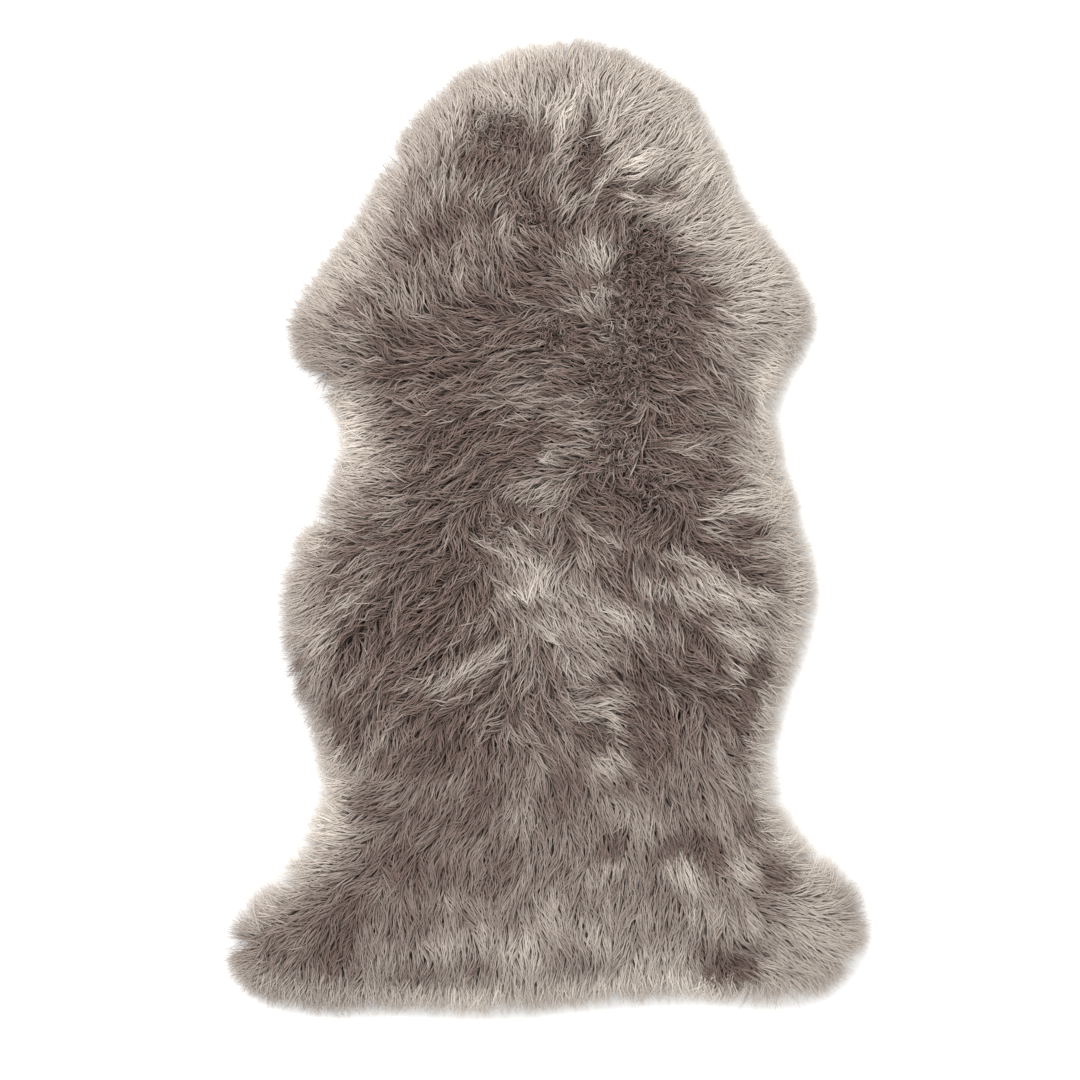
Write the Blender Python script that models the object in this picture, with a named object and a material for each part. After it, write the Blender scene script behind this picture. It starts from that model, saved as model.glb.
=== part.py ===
"""Sheepskin rug: one tanned skin lying flat, with its long wool still on it.

Metres, +Z up. The rug lies on the plane z = 0. +Y runs to the neck, -Y to the tail and the hind legs,
and +X is to the right when the rug is seen from above. The origin is under the middle of its outline.

hide    the skin: a flat suede sheet with the animal's outline
fleece  the wool on it: a lumpy slab that rolls down to the floor past the skin, with locks at its rim
"""

import math
import random
from collections import namedtuple

import bmesh
import bpy
import numpy as np
from mathutils import Matrix, Vector
from mathutils.geometry import delaunay_2d_cdt, interpolate_bezier

MM = 0.001

# The wool's outline from above, lock tip to lock tip, in mm, anticlockwise from the left hind leg.
OUTLINE_MM = (
    # across the tail end
    (-314, -452), (-298, -467), (-274, -477), (-230, -486), (-160, -483), (-110, -486), (-34, -486),
    (40, -478), (140, -472), (215, -479), (262, -473), (299, -447),
    # right hind leg, flank and shoulder
    (319, -404), (308, -362), (255, -311), (228, -258), (228, -206), (243, -156), (265, -90), (264, -30),
    (244, 38), (228, 98), (237, 147), (262, 183), (264, 222), (240, 270), (203, 318),
    # round the neck
    (185, 352), (167, 396), (130, 446), (71, 477), (26, 487), (-19, 480), (-60, 468), (-99, 445),
    (-141, 400), (-170, 349),
    # left shoulder, flank and hind leg
    (-192, 308), (-230, 257), (-254, 218), (-259, 180), (-238, 144), (-208, 106), (-206, 78),
    (-231, 18), (-259, -28), (-268, -76), (-264, -130), (-240, -206), (-227, -240), (-228, -270),
    (-243, -312), (-265, -344), (-296, -373), (-320, -408),
)

# Where the wool falls apart and a valley shows: middle, heading from +X, length, depth.
Parting = namedtuple("Parting", "x_mm y_mm heading_deg length_mm depth_mm")
PARTINGS = (
    Parting(43, 392, 100, 60, 8),      # beside the crown of the neck
    Parting(92, 258, 125, 80, 8),      # under the light swath on the right of the neck
    Parting(-50, 388, 20, 80, 7),      # the dark hollow on the left of the neck
    Parting(-140, 165, 75, 70, 6),     # left shoulder
    Parting(95, 145, 70, 110, 7),      # right of the middle of the back
    Parting(-45, -75, 160, 120, 7),    # the dark swirl on the back
    Parting(100, 0, 150, 110, 8),      # above the light locks on the right flank
    Parting(-178, -105, 30, 90, 7),    # left flank
    Parting(150, -172, 175, 130, 9),   # across the right loin
    Parting(56, -207, 75, 50, 9),      # the notch beside it
    Parting(140, -312, 95, 70, 6),     # right thigh
    Parting(190, -440, 25, 100, 10),   # the deep fold beside the tail end
    Parting(-205, -405, 60, 80, 7),    # root of the left hind leg
)
PARTING_WIDTH = 16 * MM

SKIN_THICKNESS = 2.0 * MM
PIECE_GAP = 0.3 * MM
WOOL_PAST_SKIN = 35 * MM     # from the skin's cut edge out to the tips of the locks
LOCK_REACH = 24 * MM         # how much of that is loose locks
LOCK_COUNT = 216
LOCK_UNEVENNESS = 0.24       # how far a lock's edge may stray along the rim, as a share of a lock's width
LOCK_SHARES = (0.68, 1.08)   # the shortest and the longest lock, as shares of LOCK_REACH
LOCK_STRAY = 0.08            # how far a tip may stray sideways, as a share of its lock's width
LOCK_LEAN = 0.4              # how much of the wool's lay along the rim a lock follows
PILE_HEIGHT = 43 * MM        # the wool's height over the floor between tufts
SHOULDER = 80 * MM           # the width over which the wool rolls down to the floor
TUFT_SPACING = 44 * MM
TUFT_RISE = 8 * MM
TUFT_STRETCH = 1.7           # a tuft's length along the lay, over its width
TUFT_STRAY = 0.3             # how far a tuft may lie off its lattice, as a share of the spacing
LINING_CLEARANCE = 1.2 * MM  # from the skin's edge out to the wool's own underside
UNDERCUT = 1.5 * MM          # how far out the wool's underside takes to come down to the floor

# The two rings past a lock's root: the share of its way out, and of its root's width and height.
LockRing = namedtuple("LockRing", "way width height")
LOCK_RINGS = (LockRing(0.55, 0.74, 0.5), LockRing(1, 0.14, 0.05))

SURFACE_PITCH = 14 * MM      # the distance between the points that model the wool's upper face
CURVE_STEPS = 12
SMOOTHING_ROUNDS = 3
SEED = 7

SPINE_LOW_Y = -0.34
SPINE_HIGH_Y = 0.27
WITHERS_Y = 0.25             # from here on the wool is combed more and more towards the tail
LOIN_Y = -0.25
COMBED_AT_WITHERS = 0.1      # the pull of the comb against the wool's fall away from the spine
COMBED_AT_LOIN = 0.6

SUEDE_COLOUR = (0.56, 0.47, 0.38, 1)
WOOL_COLOUR = (0.31, 0.26, 0.23, 1)


def clear_scene():
    for item in list(bpy.data.objects):
        bpy.data.objects.remove(item, do_unlink=True)


def closed_curve(points_mm, count):
    """Points on a smooth closed curve through the given ones, as unevenly spaced as the locks are wide."""
    rng = random.Random(SEED)
    points = [Vector((x * MM, y * MM, 0)) for x, y in points_mm]
    line = []
    for i, start in enumerate(points):
        before, end, after = points[i - 1], points[(i + 1) % len(points)], points[(i + 2) % len(points)]
        handles = start + (end - before) / 6, end - (after - start) / 6
        line += interpolate_bezier(start, *handles, end, CURVE_STEPS + 1)[:-1]
    line = np.array([*line, line[0]])[:, :2]
    along = np.concatenate([[0], np.cumsum(np.linalg.norm(np.diff(line, axis=0), axis=1))])
    stray = [rng.uniform(-LOCK_UNEVENNESS, LOCK_UNEVENNESS) for _ in range(count)]
    at = (np.arange(count) + 0.5 + stray) / count * along[-1]
    return np.stack([np.interp(at, along, line[:, axis]) for axis in (0, 1)], axis=1)


def moved_out(ring, distance):
    """The ring moved outwards along its normals, or inwards by a negative distance."""
    along = np.roll(ring, -2, axis=0) - np.roll(ring, 2, axis=0)
    normals = np.stack([along[:, 1], -along[:, 0]], axis=1)
    return ring + distance * normals / np.linalg.norm(normals, axis=1)[:, None]


def inset(ring, distance):
    """The ring moved inwards, and evened out so that none of its corners folds over."""
    moved = moved_out(ring, -distance)
    for _ in range(SMOOTHING_ROUNDS):
        moved = moved / 2 + (np.roll(moved, 1, axis=0) + np.roll(moved, -1, axis=0)) / 4
    return moved


def distance_to(ring, points):
    start = ring
    step = np.roll(ring, -1, axis=0) - start
    offset = points[:, None] - start[None]
    share = np.clip((offset * step).sum(2) / (step * step).sum(1), 0, 1)
    return np.linalg.norm(offset - share[..., None] * step, axis=2).min(1)


def is_inside(ring, points):
    """A point is inside where an odd number of the ring's edges passes to the right of it."""
    start, end = ring, np.roll(ring, -1, axis=0)
    x, y = points[:, :1], points[:, 1:]
    spans = (start[:, 1] > y) != (end[:, 1] > y)
    rise = np.where(end[:, 1] == start[:, 1], 1, end[:, 1] - start[:, 1])
    crossing = start[:, 0] + (y - start[:, 1]) * (end[:, 0] - start[:, 0]) / rise
    return (spans & (x < crossing)).sum(1) % 2 == 1


def lattice(low, high, pitch):
    """A triangular lattice of points over a rectangle."""
    row_step = pitch * math.sqrt(3) / 2
    rows = int((high[1] - low[1]) / row_step) + 2
    columns = int((high[0] - low[0]) / pitch) + 2
    return np.array([
        (low[0] + (column + row % 2 / 2) * pitch, low[1] + row * row_step)
        for row in range(rows)
        for column in range(columns)
    ])


def lay_of_wool(points):
    """Unit vectors along which the wool lies: away from the backbone, and combed towards the tail."""
    spine = np.stack([np.zeros(len(points)), np.clip(points[:, 1], SPINE_LOW_Y, SPINE_HIGH_Y)], axis=1)
    away = points - spine
    lay = away / np.maximum(np.linalg.norm(away, axis=1), TUFT_SPACING)[:, None]
    lay[:, 1] -= np.interp(points[:, 1], (LOIN_Y, WITHERS_Y), (COMBED_AT_LOIN, COMBED_AT_WITHERS))
    return lay / np.linalg.norm(lay, axis=1)[:, None]


def tuft_middles(outline):
    rng = random.Random(SEED)
    middles = lattice(outline.min(0), outline.max(0), TUFT_SPACING)
    stray = [(rng.uniform(-1, 1), rng.uniform(-1, 1)) for _ in middles]
    return middles + np.array(stray) * TUFT_STRAY * TUFT_SPACING


def tuft_height(points, middles):
    """0 between tufts to 1 on the crown of one. Each tuft is drawn out along the lay of the wool."""
    offset = points[:, None] - middles[None]
    lay = lay_of_wool(points)[:, None]
    along = (offset * lay).sum(2)
    across = offset[..., 0] * lay[..., 1] - offset[..., 1] * lay[..., 0]
    nearest = np.hypot(along / TUFT_STRETCH, across).min(1)
    return np.clip(1 - (nearest / (TUFT_SPACING / 2)) ** 2, 0, 1)


def parting_depth(points):
    """How far the wool sinks where it falls apart."""
    depth = np.zeros(len(points))
    for parting in PARTINGS:
        heading = math.radians(parting.heading_deg)
        offset = points - np.array((parting.x_mm, parting.y_mm)) * MM
        along = offset @ (math.cos(heading), math.sin(heading)) / (parting.length_mm * MM / 2)
        across = offset @ (-math.sin(heading), math.cos(heading)) / PARTING_WIDTH
        depth += parting.depth_mm * MM * np.exp(-(across**2) - along**4)
    return depth


def wool_height(points, outline):
    """The wool's height over the floor: a pile with tufts and partings, rolled down at the rim."""
    inwards = np.clip(distance_to(outline, points) / SHOULDER, 0, 1)
    roll = np.sqrt(1 - (1 - inwards) ** 2)
    pile = PILE_HEIGHT + TUFT_RISE * tuft_height(points, tuft_middles(outline)) - parting_depth(points)
    return pile * roll


def add_upper_face(bm, rim, outline):
    """The wool's upper face, a triangulated lattice inside the rim. Returns the rim's vertices in order."""
    spots = lattice(rim.min(0), rim.max(0), SURFACE_PITCH)
    spots = spots[is_inside(rim, spots)]
    spots = spots[distance_to(rim, spots) > SURFACE_PITCH / 2]
    points = np.concatenate([rim, spots])
    edges = [(i, (i + 1) % len(rim)) for i in range(len(rim))]
    inside_only = 1
    triangles = delaunay_2d_cdt([Vector(p) for p in points], edges, [], inside_only, 1e-6)[2]
    verts = [bm.verts.new((x, y, z)) for (x, y), z in zip(points, wool_height(points, outline))]
    for triangle in triangles:
        bm.faces.new([verts[i] for i in triangle])
    return verts[:len(rim)]


def add_ring(bm, points, z):
    return [bm.verts.new((x, y, z)) for x, y in points]


def join_rings(bm, first, second):
    for i, vert in enumerate(first):
        bm.faces.new((first[i - 1], vert, second[i], second[i - 1]))


def add_locks(bm, upper_rim, lower_rim, outline):
    """One four-sided lock on each stretch of the rim, flat on the floor and drawn out to a fine tip."""
    rng = random.Random(SEED)
    lay = lay_of_wool(outline)
    for i in range(len(outline)):
        ends = i, (i + 1) % len(outline)
        left, right = (lower_rim[end] for end in ends)
        foot = (left.co + right.co) / 2
        side = (right.co - left.co) / 2
        straight = Vector((*(outline[ends[0]] + outline[ends[1]]) / 2, 0)) - foot
        lean = side.normalized() * side.normalized().dot((*lay[i], 0)) * straight.length * LOCK_LEAN
        stray = 2 * side * rng.uniform(-LOCK_STRAY, LOCK_STRAY)
        reach = (straight + lean) * rng.uniform(*LOCK_SHARES) + stray
        height = (upper_rim[ends[0]].co.z + upper_rim[ends[1]].co.z) / 2
        ring = [upper_rim[ends[0]], left, right, upper_rim[ends[1]]]
        for way, width, share in LOCK_RINGS:
            middle = foot + reach * way
            rise = Vector((0, 0, height * share))
            corners = (-side * width + rise, -side * width, side * width, side * width + rise)
            grown = [bm.verts.new(middle + corner) for corner in corners]
            join_rings(bm, ring, grown)
            ring = grown
        bm.faces.new(ring)


def add_underside(bm, lower_rim, skin_edge):
    """Flat on the floor past the skin, and a flat recess that the skin lies in."""
    foot = add_ring(bm, moved_out(skin_edge, LINING_CLEARANCE + UNDERCUT), 0)
    ceiling = add_ring(bm, moved_out(skin_edge, LINING_CLEARANCE), SKIN_THICKNESS + PIECE_GAP)
    join_rings(bm, lower_rim, foot)
    join_rings(bm, foot, ceiling)
    bm.faces.new(ceiling)


def fleece_mesh(outline, skin_edge):
    bm = bmesh.new()
    rim = inset(outline, LOCK_REACH)
    upper_rim = add_upper_face(bm, rim, outline)
    lower_rim = add_ring(bm, rim, 0)
    add_locks(bm, upper_rim, lower_rim, outline)
    add_underside(bm, lower_rim, skin_edge)
    return finished_mesh(bm, "fleece")


def hide_mesh(skin_edge):
    bm = bmesh.new()
    top = add_ring(bm, skin_edge, SKIN_THICKNESS)
    bottom = add_ring(bm, skin_edge, 0)
    join_rings(bm, top, bottom)
    bm.faces.new(top)
    bm.faces.new(bottom)
    return finished_mesh(bm, "hide")


def finished_mesh(bm, name):
    bmesh.ops.recalc_face_normals(bm, faces=bm.faces)
    mesh = bpy.data.meshes.new(name)
    bm.to_mesh(mesh)
    bm.free()
    return mesh


def material(name, colour, roughness):
    made = bpy.data.materials.new(name)
    made.use_nodes = True
    shader = made.node_tree.nodes["Principled BSDF"]
    shader.inputs["Base Color"].default_value = colour
    shader.inputs["Roughness"].default_value = roughness
    shader.inputs["Metallic"].default_value = 0
    return made


def place(mesh, surface, to_middle):
    """Puts a mesh in the scene under its own name, over the rug's middle."""
    mesh.transform(to_middle)
    mesh.materials.append(surface)
    mesh.shade_smooth()
    mesh.set_sharp_from_angle(angle=math.radians(50))
    bpy.context.scene.collection.objects.link(bpy.data.objects.new(mesh.name, mesh))


def main():
    clear_scene()
    outline = closed_curve(OUTLINE_MM, LOCK_COUNT)
    skin_edge = inset(outline, WOOL_PAST_SKIN)
    fleece = fleece_mesh(outline, skin_edge)
    hide = hide_mesh(skin_edge)
    corners = np.array([v.co for v in fleece.vertices])
    middle = (corners.min(0) + corners.max(0)) / 2
    to_middle = Matrix.Translation((-middle[0], -middle[1], 0))
    place(hide, material("suede", SUEDE_COLOUR, 0.9), to_middle)
    place(fleece, material("wool", WOOL_COLOUR, 0.85), to_middle)


main()
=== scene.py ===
"""The looks of a sheepskin rug: one tanned skin lying flat, with its long wavy wool.

Metres, +Z up. +Y runs to the neck, -Y to the tail and the hind legs, and +X is to the right seen from
above. The tables are in millimetres from the rug's middle, with headings in degrees, 0 along +X and 90
along +Y.

hide         the skin, as the frame has it, finished as suede
wool_under   the short dense wool that shows between the locks
wool_neck, wool_shoulders, wool_back, wool_loin, wool_hind_legs
             the long wool, in strands that gather into wisps and locks and lie down the lay
wool_rim     the thin pale wool that reaches over the skin's cut edge to the floor
"""

import math
from collections import namedtuple

import bmesh
import bpy
import numpy as np
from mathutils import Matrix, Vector, bvhtree, kdtree, noise
from mathutils.geometry import delaunay_2d_cdt


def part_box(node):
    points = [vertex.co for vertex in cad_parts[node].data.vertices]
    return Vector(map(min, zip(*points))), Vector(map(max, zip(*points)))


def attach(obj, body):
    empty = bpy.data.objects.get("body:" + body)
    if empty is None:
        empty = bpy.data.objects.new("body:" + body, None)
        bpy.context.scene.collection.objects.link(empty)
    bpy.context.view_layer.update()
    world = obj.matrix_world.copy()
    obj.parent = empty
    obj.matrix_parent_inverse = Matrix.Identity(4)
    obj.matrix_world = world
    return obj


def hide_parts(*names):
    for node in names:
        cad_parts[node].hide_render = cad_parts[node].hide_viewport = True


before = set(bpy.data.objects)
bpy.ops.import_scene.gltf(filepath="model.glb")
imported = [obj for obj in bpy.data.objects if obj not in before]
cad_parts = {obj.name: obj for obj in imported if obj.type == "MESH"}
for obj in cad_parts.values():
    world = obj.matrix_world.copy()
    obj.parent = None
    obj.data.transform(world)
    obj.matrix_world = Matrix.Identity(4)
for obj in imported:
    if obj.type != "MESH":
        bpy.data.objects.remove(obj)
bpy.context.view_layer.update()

MM = 0.001
SEED = 11
WELD = 0.01 * MM
LEVEL = 0.1 * MM  # points this near in height lie level
LAYER_STEP = 7.3  # how far apart two layers of noise are taken

# Where the tips of the wool point: a row for each lock whose lay can be told.
Lay = namedtuple("Lay", "x_mm y_mm heading_deg")
LAY = [Lay(*row) for row in (
    # neck, left of the middle
    (-69, 459, 105), (1, 469, 92), (-109, 419, 118), (-139, 379, 118), (-164, 329, 128), (-189, 289, 132),
    (-119, 329, 92), (-99, 349, 76), (-59, 349, 42), (-49, 389, 80), (-9, 409, 100), (-49, 429, 115),
    (-42, 300, 78), (-113, 301, 128), (-9, 304, 140), (-9, 269, 155), (-9, 229, 190), (-49, 239, 114),
    (-84, 264, 95), (-114, 269, 122),
    # neck, right of the middle
    (26, 449, 90), (61, 449, 62), (101, 439, 46), (141, 409, 48), (171, 359, 50), (91, 389, 37),
    (101, 364, 30), (43, 401, 105), (21, 399, 55), (45, 372, 40), (20, 357, 48), (68, 355, 62),
    (85, 350, 32), (31, 335, 46), (50, 318, 38), (74, 327, -18), (15, 302, 56), (47, 302, 64),
    (141, 349, 50), (151, 319, 48), (111, 309, 33), (171, 299, 42),
    # left shoulder
    (-219, 249, 140), (-239, 219, 142), (-249, 189, 145), (-249, 164, 160), (-209, 209, 148),
    (-189, 179, 165), (-169, 239, 134), (-149, 269, 132), (-150, 212, 115), (-120, 222, 105),
    (-88, 211, 143), (-62, 212, 165), (-149, 189, 150), (-109, 189, 172), (-49, 184, 217),
    # right shoulder
    (145, 281, 3), (178, 268, 28), (178, 248, 16), (201, 279, 30), (231, 239, 12), (251, 209, -9),
    (241, 179, -22), (260, 190, 2), (191, 229, 6), (191, 199, -8), (151, 219, -40), (171, 179, -45),
    (141, 189, -42), (101, 269, -22), (111, 229, -30), (91, 189, -30), (67, 283, 86), (51, 272, 92),
    (31, 265, 124), (31, 245, 140), (71, 229, 108), (55, 232, 105), (13, 229, 166), (20, 205, 152),
    (11, 189, 165), (50, 175, 153), (103, 175, -11), (121, 175, -21),
    # back, left of the middle
    (-229, 149, 165), (-185, 157, 168), (-185, 140, 178), (-199, 99, 190), (-189, 59, 190), (-209, 9, 167),
    (-199, 29, 170), (-169, 9, 190), (-149, 129, 182), (-109, 159, 186), (-69, 169, 202), (-40, 140, 186),
    (-29, 132, 182), (-9, 144, 188), (21, 129, 180), (-89, 79, 212), (-109, 49, 210), (-49, 79, 218),
    (-1, 69, 170), (-9, 42, 195), (-5, 28, 189), (-69, 29, 217), (-129, 19, 212), (-149, -11, 192),
    # back, right of the middle
    (71, 149, 185), (71, 109, 195), (48, 86, 160), (71, 79, 190), (111, 129, -13), (137, 140, 2),
    (151, 179, -43), (151, 149, -52), (171, 129, -39), (191, 109, -40), (211, 149, -20), (211, 119, -50),
    (151, 99, 13), (141, 79, 0), (191, 79, -32), (216, 59, -26), (151, 49, -40), (103, 67, -20),
    (101, 39, -45), (51, 29, -30), (67, 31, -20), (91, 9, 231), (120, 5, 240), (41, 9, -40), (67, -5, -36),
    (191, 29, 9), (221, 35, -24), (175, 13, 18), (211, -1, 14), (171, -1, -8), (241, -11, -25),
    # left flank
    (-219, -11, 188), (-239, -41, 207), (-249, -71, 215), (-229, -71, 220), (-239, -111, 218),
    (-89, -41, 204), (-77, -66, 232), (-109, -91, 220), (-169, -61, 217), (-185, -95, 238),
    (-163, -96, 262), (-69, -111, 232), (-249, -151, 245), (-149, -121, 218), (-99, -131, 222),
    (-119, -161, 208), (-57, -152, 217), (-45, -140, 222),
    # the light wool in the middle of the loin
    (-49, -1, -20), (-24, 11, -34), (-22, -8, -43), (-41, -23, -49), (-60, -22, -42), (-43, -41, -63),
    (-49, -71, 300), (-19, -71, -45), (-9, -43, 252), (11, -91, -51), (11, -31, -105), (51, -51, -53),
    (51, -91, -48), (91, -31, -76), (111, -91, -63), (21, -131, -60), (51, -131, -50), (91, -131, -57),
    (46, -176, -5), (85, -167, -16), (78, -183, -20), (71, -201, -38), (66, -236, -45), (21, -211, -65),
    (-16, -183, -48),
    # right flank
    (151, -46, -28), (141, -61, -52), (148, -93, -66), (175, -112, -50), (191, -91, -31), (231, -41, -9),
    (262, -30, 2), (241, -61, 20), (251, -71, 14), (231, -101, -44), (165, -131, -54), (208, -130, -42),
    (151, -156, -12), (211, -161, -38), (111, -191, -100), (151, -211, -72), (191, -191, -45),
    (221, -231, -70), (191, -261, -50),
    # loin and left thigh
    (-215, -196, 262), (-187, -215, 255), (-209, -221, 247), (-203, -238, 238), (-209, -258, 200),
    (-209, -281, 160), (-219, -321, 186), (-195, -328, 182), (-169, -261, 203), (-169, -301, 228),
    (-109, -211, 241), (-49, -171, 223), (-28, -163, 238), (-149, -231, 245), (-69, -251, 255),
    (-109, -301, 241), (-149, -331, 268), (21, -261, -80), (71, -261, -55), (51, -301, -77),
    (91, -291, -77), (131, -261, -84), (157, -292, -85), (170, -318, -68),
    # left hind leg and the tail end
    (-249, -351, 190), (-222, -363, 203), (-269, -381, 203), (-289, -391, 208), (-285, -408, 222),
    (-289, -421, 231), (-304, -410, 200), (-269, -421, 243), (-249, -461, 262), (-209, -411, 260),
    (-209, -461, 258), (-169, -395, 268), (-169, -415, 278), (-109, -371, 275), (-69, -376, 290),
    (-38, -347, 245), (-69, -431, 267), (-29, -411, 272), (-29, -471, 265), (31, -330, 250),
    (85, -356, 252), (103, -349, 260), (11, -401, -76), (51, -371, -89), (91, -391, -88), (51, -461, -95),
    (67, -453, 250), (91, -451, -84),
    # right hind leg
    (231, -271, -58), (241, -291, -45), (251, -321, -16), (266, -338, 4), (141, -346, -72),
    (181, -341, -53), (231, -341, -26), (271, -361, 10), (304, -384, 14), (248, -383, -34),
    (281, -391, -12), (281, -421, -28), (271, -451, -30), (231, -391, -42), (211, -411, -37),
    (190, -448, -18), (231, -451, -42), (131, -391, -95), (151, -401, -100),
)]
LAY_BLUR = 11 * MM      # how far a row's lay runs into the next one's
OUTWARD_BAND = 25 * MM  # from here to the rim, the wool turns outwards
OUTWARD_SHARE = 0.5     # and this is how far it has turned at the rim

# Where the wool is short and crimped: middle, reach, and 0 for straight to 1 for tight curls.
Curl = namedtuple("Curl", "x_mm y_mm reach_mm amount")
CURLS = [Curl(*row) for row in (
    (-49, 389, 35, 0.7), (-9, 304, 25, 0.5), (-9, 265, 22, 0.4), (41, 369, 25, 0.5),
    (101, 269, 35, 0.7), (111, 229, 30, 0.5), (91, 189, 40, 0.8), (11, 189, 22, 0.8),
    (71, 229, 28, 0.8), (71, 149, 40, 0.7), (71, 79, 28, 0.7), (101, 39, 28, 0.6),
    (-49, -1, 24, 0.7), (-1, 69, 14, 0.5), (60, -205, 14, 0.6), (-178, -108, 22, 0.4),
)]

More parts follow.
